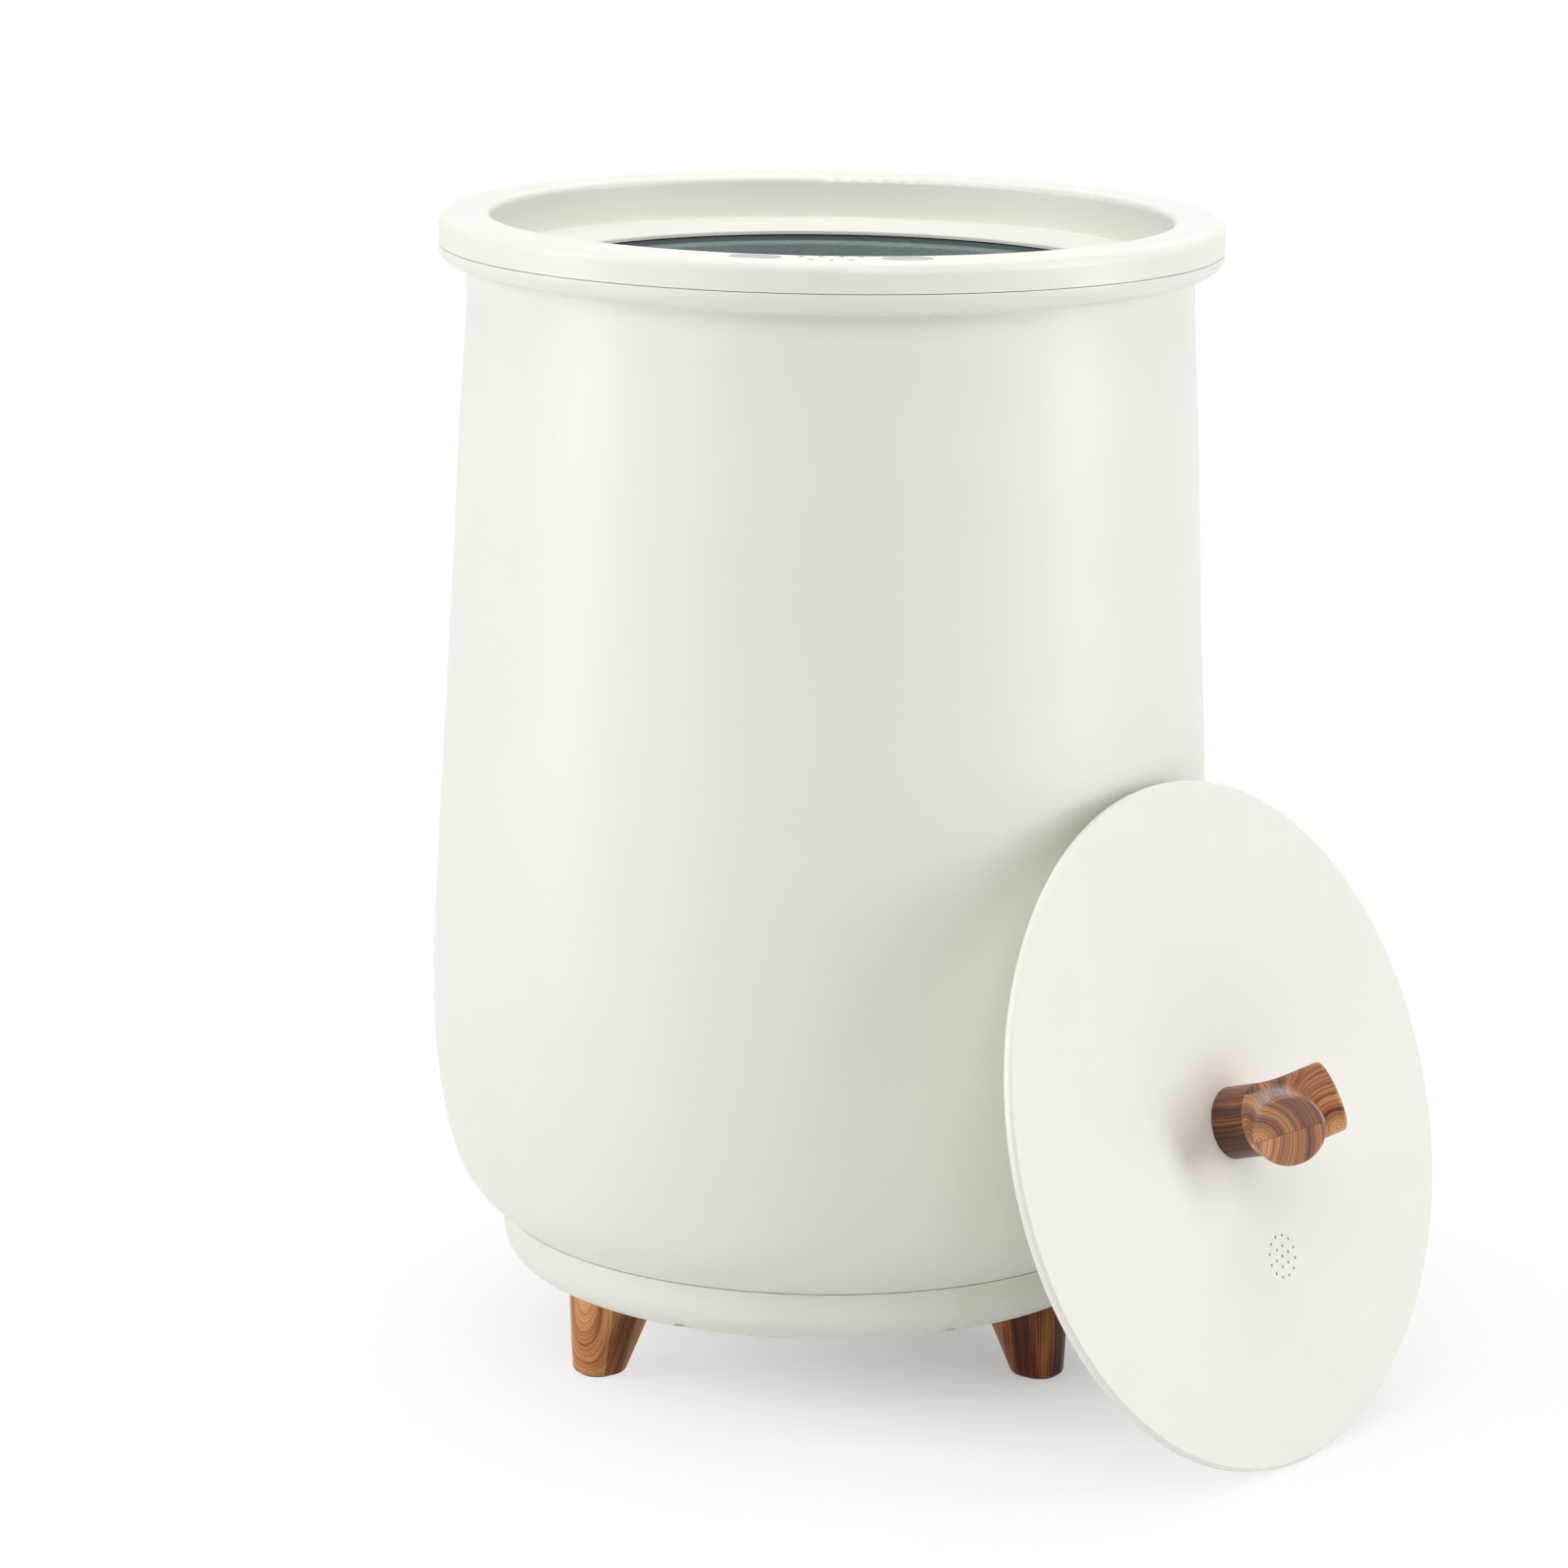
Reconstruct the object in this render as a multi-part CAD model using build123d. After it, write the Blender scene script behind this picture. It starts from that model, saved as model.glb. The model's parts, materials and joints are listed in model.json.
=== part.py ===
from build123d import *
from math import cos, sin, tan, radians, degrees, hypot, pi
import os

# Bucket towel warmer: belly-shaped plastic bucket on three splayed wooden feet, with its lid off.
# Millimetres, +Z up. The origin is the point of the floor under the bucket's axis. The control panel
# faces -Y. The lid stands on its edge on the floor at the front right and leans towards the belly.
# Azimuths are measured from the front (-Y) towards +X.

# ---------------------------------------------------------------- driving dimensions
RIM_TOP = 494.0            # top of the rim above the floor
RIM_R = 165.0              # outside of the rim band
WALL = 3.0                 # moulded plastic wall
SEAM_Z = 63.2              # joint between belly shell and base cover
BASE_R = 136.5             # base cover at that joint
BASE_Z = 40.0              # underside of the base cover
BASE_EDGE_R = 14.0         # rounding of the base cover's lower edge

# Belly outline, outside, from the neck under the rim down to the seam: (radius, height)
BELLY = [(153.2, 467.0), (155.0, 425.0), (158.1, 359.0), (161.6, 291.0), (165.4, 215.0), (167.0, 171.0),
         (166.0, 134.0), (160.8, 101.0), (149.0, 74.6), (BASE_R, SEAM_Z)]

# Rim
PARTING_Z = 481.4          # line between the rim cap and the shell's collar
PARTING_GAP = 0.3
RIM_ROUND = 4.5            # top outer edge of the rim
RECESS_R = 143.2           # wall of the lid recess
SEAT_Z = 475.3             # flat on which the lid's edge rests
SEAT_INNER_R = 135.5
MOUTH_R = 124.5            # inner edge of the sloping ledge
MOUTH_Z = 471.9
COLLAR_FLOOR_Z = 474.0     # underside of the shell's collar
SHELF_Z = 463.5            # underside of the ring that carries the liner
SHELF_R = 134.0
LEDGE = 3.0                # ledge inside the shell's neck on which that ring rests
BOSS_R = 143.0             # circle of the rim screws
BOSS_AZIMUTHS = range(30, 360, 60)
SEAL_THICK = 1.8

# Liner
LINER_WALL = 1.2
LINER_TOP_R = 124.0        # inside radius at the flange
LINER_FLOOR_R = 115.0      # inside radius at the floor
LINER_FLOOR_Z = 98.0
LINER_CORNER = 14.0
FLANGE_R = 138.5
FLANGE_Z = SHELF_Z + WALL  # the flange lies on the shelf
PRESS_Z = FLANGE_Z + LINER_WALL + SEAL_THICK   # the rim cap presses on the seal here
HEATER_LOW = 118.0
HEATER_HIGH = 330.0
HEATER_THICK = 1.2
FELT_LOW = 114.0
FELT_HIGH = 452.0
FELT_THICK = 7.0

# Control panel
PANEL_R = 153.6            # centre line of the flat top of the rim
BUTTON_AZ = 11.2
BUTTON_LONG = 20.0
BUTTON_WIDE = 11.5
BUTTON_GAP = 0.35
BUTTON_DEPTH = 4.5
BUTTON_TRAVEL = 0.8
DOT_R = 1.1
BACK_DOTS = (148.4, 4)     # radius and number of the rear row of indicator dots
FRONT_DOTS = (158.6, 3)
DOT_PITCH = 7.9
BOARD_TOP_Z = 485.0
BOARD_THICK = 1.6
BOARD_OUTER_R = 159.8
BOARD_INNER_R = 147.0
BOARD_HALF_ANGLE = 21.5
BOARD_POST_AZ = 18.5
CONTROL_LEAD_X = 16.0      # the board's lead drops through the shelf here
CONTROL_LEAD_Y = 147.2
CONTROL_LEAD_HOLE = 1.9

# Feet
FOOT_AZIMUTHS = {"right": 64.0, "rear": 182.0, "left": 300.0}
FOOT_BOTTOM_R = 107.6      # distance of a foot's sole from the bucket's axis
FOOT_SPLAY = 11.2
FOOT_SOLE_RADIUS = 10.8
FOOT_TAPER = 0.23          # growth of a foot's radius per millimetre upwards
SOLE_Z = 0.8
SOLE_ROUND = 2.6
PAD_RADIUS = 7.6
PAD_THICK = 2.6
FOOT_BOSS = 12.0           # height of the base's boss along a foot's axis
BOLT_R = 3.0
BOLT_REACH = 20.0          # depth of the bolt in the foot
INSERT_R = 4.2
INSERT_DEPTH = 22.0

# Base
SCREW_AZIMUTHS = (0, 120, 240)
SCREW_CIRCLE = 121.0
SCREW_BOSS_TOP = SEAM_Z + 28.0
SCREW_HEAD_Z = 46.0
NOTCH_AZIMUTHS = (-25.2, 25.2, 94.8, 145.2, 214.8, 265.2)
NOTCH_CIRCLE = 128.6       # blind wells that break out of the base's rounded edge
NOTCH_R = 4.0
NOTCH_TOP_Z = 47.0
SLOT_CIRCLE = 52.0
SLOT_COUNT = 12
POWER_BOARD_Z = 56.0
POWER_BOARD_THICK = 1.6
POWER_TOP_Z = POWER_BOARD_Z + POWER_BOARD_THICK
POWER_POST_X = 42.0
POWER_POST_Y = 30.0
GLAND_Z = 53.0
GLAND_FACE_Y = 138.0
GLAND_BACK_Y = 125.5
GLAND_NECK_R = 6.0
CORD_R = 3.4

# Lid, in its own frame: front face at 0, arms of the handle along X, vents towards -Y
LID_R = 142.3
LID_EDGE = 4.0
LID_PLATE = 2.6
PLUG_R = 120.0
LID_DEPTH = 15.0
CROWN = 0.8
VENT_Y = -61.0
VENT_HOLE_R = 0.7
VENT_RINGS = ((8.75, 12), (4.38, 6))
CUP_R = 14.0
CUP_WALL = 2.6
GROOVE_LOW = -10.6         # groove in the cup for the cap's lugs
LUG_TURN = 60.0            # the cap is drawn locked, this far round from the entry slots
HANDLE_R = 15.0
HANDLE_BEND = 20.0         # radius in which each branch bends out of the stem
HANDLE_TIP_ROUND = 1.8
HANDLE_BORE = 4.0
STEM = 24.0
ARM = 23.5
ARM_ANGLE = 48.0
LID_CENTRE = (170.0, -128.1, 137.15)
LID_AZIMUTH = -38.8        # direction of the lid's face in plan, from +X
LID_LEAN = 17.0            # how far the face looks up
LID_SPIN = 13.0            # turn of the handle in the lid's plane


# ---------------------------------------------------------------- helpers
def outline(corners):
    """Closed face in the radius-height plane from (radius, height) or (radius, height, rounding)."""
    face = make_face(Polyline(*[(c[0], c[1]) for c in corners], close=True))
    for corner in corners:
        if len(corner) == 3:
            here = Vector(corner[0], corner[1], 0)
            vertex = min(face.vertices(), key=lambda v: (Vector(*v) - here).length)
            face = fillet(vertex, corner[2])
    return face


def turned(face):
    """Solid of revolution about Z of a face drawn in the radius-height plane."""
    return revolve(Plane.XZ * face, Axis.Z)


def tube(r_out, r_in, z_low, z_high):
    return turned(outline([(r_in, z_low), (r_out, z_low), (r_out, z_high), (r_in, z_high)]))


def rod(radius, z_low, z_high):
    return Pos(0, 0, z_low) * Cylinder(radius, z_high - z_low, align=(Align.CENTER, Align.CENTER, Align.MIN))


def plan(radius, azimuth):
    """Point (x, y) at a distance from the axis, azimuth from the front towards +X."""
    return radius * sin(radians(azimuth)), -radius * cos(radians(azimuth))


def at(radius, azimuth, z=0.0):
    """Place whose local -Y looks outwards at an azimuth."""
    x, y = plan(radius, azimuth)
    return Pos(x, y, z) * Rot(0, 0, azimuth)


def inset(points, wall):
    """Points moved inwards along the local normal of an outline that runs downwards."""
    moved = []
    for i, (r, z) in enumerate(points):
        before = points[max(i - 1, 0)]
        after = points[min(i + 1, len(points) - 1)]
        dr, dz = after[0] - before[0], after[1] - before[1]
        length = hypot(dr, dz)
        moved.append((r + wall * dz / length, z - wall * dr / length))
    return moved


def belly_radius(z):
    """Outside radius of the belly at a height, along straight chords between its points."""
    for (r0, z0), (r1, z1) in zip(BELLY, BELLY[1:]):
        if z1 <= z <= z0:
            return r0 + (r1 - r0) * (z0 - z) / (z0 - z1)
    return BELLY[0][0]


def hex_prism(across, height):
    return extrude(RegularPolygon(across / 2, 6, major_radius=False), height)


def pan_screw(shank_r, length, head_r, head_h):
    """Screw along Z: head below 0, shank above, with a cross recess in the head."""
    head = rod(head_r, -head_h, 0)
    head = fillet(head.edges().group_by(Axis.Z)[0], head_h * 0.4)
    slot = Pos(0, 0, -head_h) * (Box(head_r, 0.9, head_h) + Box(0.9, head_r, head_h))
    return (head - slot) + rod(shank_r, 0, length)


def lead(points, radius, bend):
    """Round wire along straight runs joined by arcs."""
    path = FilletPolyline(*points, radius=bend)
    return sweep(Plane(origin=path @ 0, z_dir=path % 0) * Circle(radius), path=path)


# ---------------------------------------------------------------- bucket
def shell_section():
    """Cut through the shell's wall and its collar."""
    top = BELLY[0][1]
    neck_r = BELLY[0][0]
    collar_top = PARTING_Z - PARTING_GAP
    outer = Spline(*BELLY, tangents=((-0.04, -1), (-0.78, -0.62)))
    inner_points = inset(BELLY, WALL)
    inner_points[0] = (neck_r - WALL, top)
    inner_points[-1] = (inner_points[-1][0], SEAM_Z)
    inner = Spline(*reversed(inner_points), tangents=((0.78, 0.62), (0.04, 1)))
    belly = make_face([outer, Line(outer @ 1, inner @ 0), inner, Line(inner @ 1, outer @ 0)])
    collar = outline([
        (neck_r - WALL, top - 0.01), (neck_r, top - 0.01), (neck_r, COLLAR_FLOOR_Z - 0.6, 2.2),
        (RIM_R, COLLAR_FLOOR_Z - 0.6, 7.0), (RIM_R, collar_top), (RIM_R - WALL, collar_top),
        (RIM_R - WALL, COLLAR_FLOOR_Z + WALL, 0.8), (neck_r - WALL, COLLAR_FLOOR_Z + WALL)])
    return belly + collar


def control_lead_hole():
    hole = rod(CONTROL_LEAD_HOLE, SHELF_Z - LEDGE - 1, SHELF_Z + WALL + 1)
    return Pos(CONTROL_LEAD_X, -CONTROL_LEAD_Y, 0) * hole


def make_outer_shell():
    neck_r = BELLY[0][0]
    shell = turned(shell_section())
    shell += tube(neck_r - 1.5, neck_r - WALL - LEDGE, SHELF_Z - LEDGE, SHELF_Z)
    shell -= control_lead_hole()
    for azimuth in SCREW_AZIMUTHS:
        shell += shell_boss(azimuth)
        shell -= at(SCREW_CIRCLE, azimuth) * rod(1.5, SEAM_Z, SEAM_Z + 24)
    return shell


def make_support_ring():
    """Ring on the shell's ledge that carries the liner's flange and takes the rim screws."""
    ring = tube(BELLY[0][0] - WALL - 0.15, SHELF_R, SHELF_Z, FLANGE_Z)
    for azimuth in BOSS_AZIMUTHS:
        ring -= at(BOSS_R, azimuth) * rod(1.7, SHELF_Z - 1, FLANGE_Z + 1)
    return ring - control_lead_hole()


def shell_boss(azimuth):
    """Screw boss of the shell with the rib that joins it to the belly wall."""
    boss = Rot(0, 0, azimuth) * Pos(0, -SCREW_CIRCLE, 0) * rod(4.5, SEAM_Z + 1.0, SCREW_BOSS_TOP)
    wall_low = belly_radius(SEAM_Z + 8) - 1.5
    wall_high = belly_radius(SCREW_BOSS_TOP) - 1.5
    web = make_face(Polyline((SCREW_CIRCLE, SEAM_Z + 8), (wall_low, SEAM_Z + 8), (wall_high, SCREW_BOSS_TOP),
                             (SCREW_CIRCLE, SCREW_BOSS_TOP), close=True))
    web = extrude(Plane.XZ * web, 1.25, both=True)
    return boss + Rot(0, 0, azimuth - 90) * web


def make_rim_cap():
    inner_r = RIM_R - WALL
    wall_r = RECESS_R + 2.6
    lap_r = inner_r - 0.2
    rim = turned(outline([
        (RIM_R, PARTING_Z), (RIM_R, RIM_TOP, RIM_ROUND), (RECESS_R + 0.3, RIM_TOP, 2.8),
        (RECESS_R - 0.4, SEAT_Z, 0.8), (SEAT_INNER_R, SEAT_Z), (MOUTH_R, MOUTH_Z, 0.9),
        (MOUTH_R, MOUTH_Z - 1.7), (SEAT_INNER_R - 2.5, PRESS_Z + 2.0), (SEAT_INNER_R - 2.5, PRESS_Z),
        (SEAT_INNER_R, PRESS_Z), (SEAT_INNER_R, SEAT_Z - 2.6), (wall_r, SEAT_Z - 2.6),
        (wall_r, RIM_TOP - 2.6, 1.5), (inner_r, RIM_TOP - 2.6, 2.5), (inner_r, PARTING_Z + 4.2),
        (lap_r - 1.5, PARTING_Z + 2.5), (lap_r - 1.5, PARTING_Z - 2.5), (lap_r, PARTING_Z - 2.5),
        (lap_r, PARTING_Z)]))
    for azimuth in BOSS_AZIMUTHS:
        rim += at(BOSS_R, azimuth) * rod(3.4, FLANGE_Z, SEAT_Z - 2.0)
        rim -= at(BOSS_R, azimuth) * rod(1.3, FLANGE_Z - 1, SEAT_Z - 0.8)
    for side in (-1, 1):
        rim += at(PANEL_R, side * BOARD_POST_AZ) * rod(2.6, BOARD_TOP_Z, RIM_TOP - 2.0)
        rim -= at(PANEL_R, side * BOARD_POST_AZ) * rod(1.0, BOARD_TOP_Z - 1, RIM_TOP - 3.0)
        hole = SlotOverall(BUTTON_LONG + 2 * BUTTON_GAP, BUTTON_WIDE + 2 * BUTTON_GAP)
        rim -= at(PANEL_R, side * BUTTON_AZ) * extrude(Pos(0, 0, RIM_TOP - 4) * hole, 6)
    for x, y in dot_places():
        rim -= Pos(x, y, 0) * rod(DOT_R, RIM_TOP - 4, RIM_TOP + 1)
    return rim


def dot_places():
    """Staggered indicator dots on the flat of the rim."""
    places = []
    for radius, count in (BACK_DOTS, FRONT_DOTS):
        step = degrees(DOT_PITCH / radius)
        for i in range(count):
            places.append(plan(radius, (i - (count - 1) / 2) * step))
    return places


def liner_offset(offset, z_low, z_high):
    """Cone faces parallel to the liner's inside wall, as two (radius, height) ends."""
    slope = (LINER_TOP_R - LINER_FLOOR_R) / (FLANGE_Z - LINER_FLOOR_Z)
    def radius(z):
        return LINER_FLOOR_R + slope * (z - LINER_FLOOR_Z) + offset
    return (radius(z_low), z_low), (radius(z_high), z_high)


def make_inner_bucket():
    outer_low, outer_high = liner_offset(LINER_WALL, LINER_FLOOR_Z - LINER_WALL, FLANGE_Z)
    inner_low, inner_high = liner_offset(0, LINER_FLOOR_Z, FLANGE_Z + LINER_WALL)
    return turned(outline([
        (0, outer_low[1]), (*outer_low, LINER_CORNER + LINER_WALL), (*outer_high, 1.0),
        (FLANGE_R, FLANGE_Z), (FLANGE_R, FLANGE_Z + LINER_WALL), (*inner_high, 2.2),
        (*inner_low, LINER_CORNER), (0, LINER_FLOOR_Z)]))


def make_liner_seal():
    low = FLANGE_Z + LINER_WALL
    return tube(FLANGE_R - 0.7, LINER_TOP_R + 1.8, low, low + SEAL_THICK)


def wrap(offset, thick, z_low, z_high):
    (r0, z0), (r1, z1) = liner_offset(offset, z_low, z_high)
    return turned(outline([(r0, z0), (r0 + thick, z0), (r1 + thick, z1), (r1, z1)]))


def make_heating_wrap():
    """Heating blanket round the lower liner; its ends meet with a gap at the back."""
    band = wrap(LINER_WALL, HEATER_THICK, HEATER_LOW, HEATER_HIGH)
    seam = Pos(0, 125, (HEATER_LOW + HEATER_HIGH) / 2) * Box(12, 40, HEATER_HIGH - HEATER_LOW + 2)
    return band - seam


def make_insulation_wrap():
    felt = wrap(LINER_WALL + HEATER_THICK, FELT_THICK, FELT_LOW, FELT_HIGH)
    return felt - Pos(0, 122, FELT_LOW + 3.0) * Box(24, 40, 10)


def make_base_insulation():
    """Felt disc under the liner's floor, cut out round the thermostat and the sensor."""
    top = LINER_FLOOR_Z - LINER_WALL
    disc = rod(96.0, top - 6.0, top)
    disc -= rod(20.0, top - 7.0, top + 1)
    return disc - Pos(0, 34, 0) * rod(8.0, top - 7.0, top + 1) - Pos(0, 20, top - 3) * Box(10, 30, 8)


def make_base_cover():
    low_r = BASE_R - BASE_EDGE_R
    inside_r = BASE_R - WALL
    shell = turned(outline([
        (0, BASE_Z), (BASE_R, BASE_Z, BASE_EDGE_R), (BASE_R, SEAM_Z - 0.3), (inside_r - 0.2, SEAM_Z - 0.3),
        (inside_r - 0.2, SEAM_Z + 3.5), (inside_r - 2.4, SEAM_Z + 3.5),
        (inside_r - 2.4, BASE_Z + WALL, BASE_EDGE_R - WALL), (0, BASE_Z + WALL)]))
    for azimuth in FOOT_AZIMUTHS.values():
        shell += foot_frame(azimuth) * rod(11.0, 0, FOOT_BOSS) & above(BASE_Z + 1)
        shell -= foot_frame(azimuth) * rod(BOLT_R + 0.3, -30, 60)
    for azimuth in SCREW_AZIMUTHS:
        shell += at(SCREW_CIRCLE, azimuth) * rod(5.0, BASE_Z + 1, SEAM_Z + 1.0)
        shell -= at(SCREW_CIRCLE, azimuth) * rod(2.2, BASE_Z - 1, SEAM_Z + 2)
        shell -= at(SCREW_CIRCLE, azimuth) * rod(4.4, BASE_Z - 1, SCREW_HEAD_Z)
    envelope = turned(outline([(0, BASE_Z), (BASE_R, BASE_Z, BASE_EDGE_R), (BASE_R, SEAM_Z - 0.3),
                               (0, SEAM_Z - 0.3)]))
    for azimuth in NOTCH_AZIMUTHS:
        shell += (at(NOTCH_CIRCLE, azimuth) * rod(NOTCH_R + 2.0, BASE_Z + 1, NOTCH_TOP_Z + 2.0)) & envelope
        shell -= at(NOTCH_CIRCLE, azimuth) * rod(NOTCH_R, BASE_Z - 1, NOTCH_TOP_Z)
    slot = extrude(Plane.XY.offset(BASE_Z - 1) * Rot(0, 0, 90) * SlotOverall(22, 3.2), WALL + 2)
    for i in range(SLOT_COUNT):
        shell -= at(SLOT_CIRCLE, (i + 0.5) * 360 / SLOT_COUNT) * slot
    for x in (-1, 1):
        for y in (-1, 1):
            post = Pos(x * POWER_POST_X, y * POWER_POST_Y, 0)
            shell += post * rod(3.2, BASE_Z + 1, POWER_BOARD_Z)
            shell -= post * rod(1.2, BASE_Z + WALL + 1, POWER_BOARD_Z + 1)
    shell += Pos(0, 0, GLAND_Z) * Rot(-90, 0, 0) * rod(8.5, GLAND_BACK_Y, GLAND_FACE_Y)
    shell -= Pos(0, 0, GLAND_Z) * Rot(-90, 0, 0) * rod(GLAND_NECK_R, GLAND_BACK_Y - 1, GLAND_FACE_Y + 1)
    return shell


def above(z):
    return Pos(0, 0, z + 100) * Box(600, 600, 200)


def foot_frame(azimuth):
    """Frame on a foot's axis where it meets the base: local +Z runs up the splayed axis."""
    top_r = FOOT_BOTTOM_R - tan(radians(FOOT_SPLAY)) * BASE_Z
    x, y = plan(top_r, azimuth)
    return Pos(x, y, BASE_Z) * Rot(0, 0, azimuth) * Rot(-FOOT_SPLAY, 0, 0)


def make_foot(azimuth):
    """Tapered turned foot, cut level at the base and at the floor, with a pad recess in its sole."""
    length = BASE_Z / cos(radians(FOOT_SPLAY))
    low, high = -length - 8.0, 8.0
    sole_r = FOOT_SOLE_RADIUS
    cone = turned(make_face(Polyline(
        (0, low), (sole_r + FOOT_TAPER * (low + length), low), (sole_r + FOOT_TAPER * (high + length), high),
        (0, high), close=True)))
    slab = Pos(0, 0, (BASE_Z + SOLE_Z) / 2) * Box(400, 400, BASE_Z - SOLE_Z)
    foot = foot_frame(azimuth) * cone & slab
    sole = foot.edges().group_by(Axis.Z)[0]
    foot = fillet(sole, SOLE_ROUND)
    x, y = plan(FOOT_BOTTOM_R, azimuth)
    foot -= Pos(x, y, 0) * rod(PAD_RADIUS, 0, PAD_THICK)
    return foot - foot_frame(azimuth) * rod(INSERT_R, -INSERT_DEPTH, 9)


def make_foot_pad(azimuth):
    x, y = plan(FOOT_BOTTOM_R, azimuth)
    return Pos(x, y, 0) * rod(PAD_RADIUS, 0, PAD_THICK)


def make_foot_inserts():
    sleeves = []
    for azimuth in FOOT_AZIMUTHS.values():
        sleeve = rod(INSERT_R, -INSERT_DEPTH, -3.0) - rod(BOLT_R, -INSERT_DEPTH - 1, 0)
        sleeves.append(foot_frame(azimuth) * sleeve)
    return sleeves


def make_foot_bolts():
    bolts = []
    for azimuth in FOOT_AZIMUTHS.values():
        bolt = rod(BOLT_R, -BOLT_REACH, FOOT_BOSS) + Pos(0, 0, FOOT_BOSS) * hex_prism(10.0, 4.0)
        bolts.append(foot_frame(azimuth) * bolt)
    return bolts


def make_base_screws():
    screw = pan_screw(1.5, 36.0, 3.6, 2.6)
    return [at(SCREW_CIRCLE, azimuth, SCREW_HEAD_Z) * screw for azimuth in SCREW_AZIMUTHS]


def make_rim_screws():
    screw = pan_screw(1.3, 10.0, 2.8, 2.0)
    return [at(BOSS_R, azimuth, SHELF_Z) * screw for azimuth in BOSS_AZIMUTHS]


# ---------------------------------------------------------------- control panel
def make_button(side):
    """Oval cap flush with the rim, with a wider rim below the top plate that keeps it in."""
    low = RIM_TOP - BUTTON_DEPTH
    cap = extrude(Pos(0, 0, low) * SlotOverall(BUTTON_LONG, BUTTON_WIDE), BUTTON_DEPTH - 0.2)
    cap = fillet(cap.edges().group_by(Axis.Z)[-1], 0.6)
    foot = extrude(Pos(0, 0, low) * SlotOverall(BUTTON_LONG + 1.6, BUTTON_WIDE + 1.2), 1.2)
    return at(PANEL_R, side * BUTTON_AZ) * (cap + foot)


def make_control_board():
    """Curved board under the panel."""
    low = BOARD_TOP_Z - BOARD_THICK
    board = tube(BOARD_OUTER_R, BOARD_INNER_R, low, BOARD_TOP_Z)
    half = radians(BOARD_HALF_ANGLE)
    keep = extrude(Plane.XY.offset(low - 1) * make_face(Polyline(
        (0, 0), (200 * sin(half), -200 * cos(half)), (0, -240), (-200 * sin(half), -200 * cos(half)),
        close=True)), BOARD_THICK + 2)
    board = board & keep
    for side in (-1, 1):
        board -= at(PANEL_R, side * BOARD_POST_AZ) * rod(1.2, low - 1, BOARD_TOP_Z + 1)
    return board


def make_board_screws():
    screw = pan_screw(1.0, 6.0, 2.0, 1.4)
    return [at(PANEL_R, side * BOARD_POST_AZ, BOARD_TOP_Z - BOARD_THICK) * screw for side in (-1, 1)]


def make_tact_switches():
    """Two push switches; each plunger is drawn at its pressed height."""
    plunger = RIM_TOP - BUTTON_DEPTH - BUTTON_TRAVEL - 0.1 - BOARD_TOP_Z
    switch = Box(6, 6, 2.6, align=(Align.CENTER, Align.CENTER, Align.MIN)) + rod(1.7, 2.6, plunger)
    return [at(PANEL_R, side * BUTTON_AZ, BOARD_TOP_Z) * switch for side in (-1, 1)]


def make_indicator_leds():
    chip = Box(1.6, 1.2, 0.8, align=(Align.CENTER, Align.CENTER, Align.MIN))
    return [Pos(x, y, BOARD_TOP_Z) * chip for x, y in dot_places()]


def make_light_pipes():
    return [Pos(x, y, 0) * rod(DOT_R, BOARD_TOP_Z + 0.8, RIM_TOP) for x, y in dot_places()]


# ---------------------------------------------------------------- electrics in the base
def make_power_board():
    board = Pos(0, 0, POWER_BOARD_Z) * Box(
        96, 72, POWER_BOARD_THICK, align=(Align.CENTER, Align.CENTER, Align.MIN))
    for x in (-1, 1):
        for y in (-1, 1):
            post = Pos(x * POWER_POST_X, y * POWER_POST_Y, 0)
            board -= post * rod(1.5, POWER_BOARD_Z - 1, POWER_BOARD_Z + 3)
    return board


def make_power_board_screws():
    screw = Rot(180, 0, 0) * pan_screw(1.2, 9.0, 2.4, 1.8)
    places = [(x * POWER_POST_X, y * POWER_POST_Y) for x in (-1, 1) for y in (-1, 1)]
    return [Pos(x, y, POWER_TOP_Z) * screw for x, y in places]


def on_board(x, y, length, width, height):
    return Pos(x, y, POWER_TOP_Z) * Box(
        length, width, height, align=(Align.CENTER, Align.CENTER, Align.MIN))


def make_power_relay():
    relay = on_board(-24, 4, 19, 15.5, 15.0)
    return chamfer(relay.edges().group_by(Axis.Z)[-1], 0.8)


def make_terminal_block():
    """Three-way terminal block at the rear edge of the power board."""
    block = on_board(8, 26, 30, 12, 11)
    for i in (-1, 0, 1):
        block -= Pos(8 + i * 9, 26, POWER_TOP_Z + 11) * Cylinder(2.6, 8)
        block -= Pos(8 + i * 9, 31, POWER_TOP_Z + 3.4) * Rot(90, 0, 0) * Cylinder(2.0, 8)
    return block


def make_filter_capacitor():
    body = on_board(18, -10, 26, 10, 17)
    return fillet(body.edges().filter_by(Axis.Z), 1.5)


def make_supply_transformer():
    core = on_board(-8, -20, 20, 16, 14)
    coil = Pos(-8, -20, POWER_TOP_Z + 7.0) * Rot(90, 0, 0) * Cylinder(6.0, 21.0)
    return core + coil


def make_thermostat():
    """Snap-disc thermostat held against the liner's floor."""
    top = LINER_FLOOR_Z - LINER_WALL
    body = rod(8.2, top - 9.0, top - 1.0) + rod(9.4, top - 1.6, top)
    for side in (-1, 1):
        body += Pos(side * 4.5, 0, top - 12.0) * Box(0.8, 6.3, 8.0)
    strap = Pos(0, 0, top - 0.6) * Box(30, 8, 1.2)
    return body + strap


def make_thermal_fuse():
    top = LINER_FLOOR_Z - LINER_WALL
    fuse = Pos(0, 16, top - 3.0) * Rot(0, 90, 0) * Cylinder(2.0, 14.0)
    clip = Pos(0, 16, top - 0.5) * Box(8, 6, 1.0) + Pos(0, 16, top - 1.8) * Box(2.5, 4, 2.0)
    return fuse + clip


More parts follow.
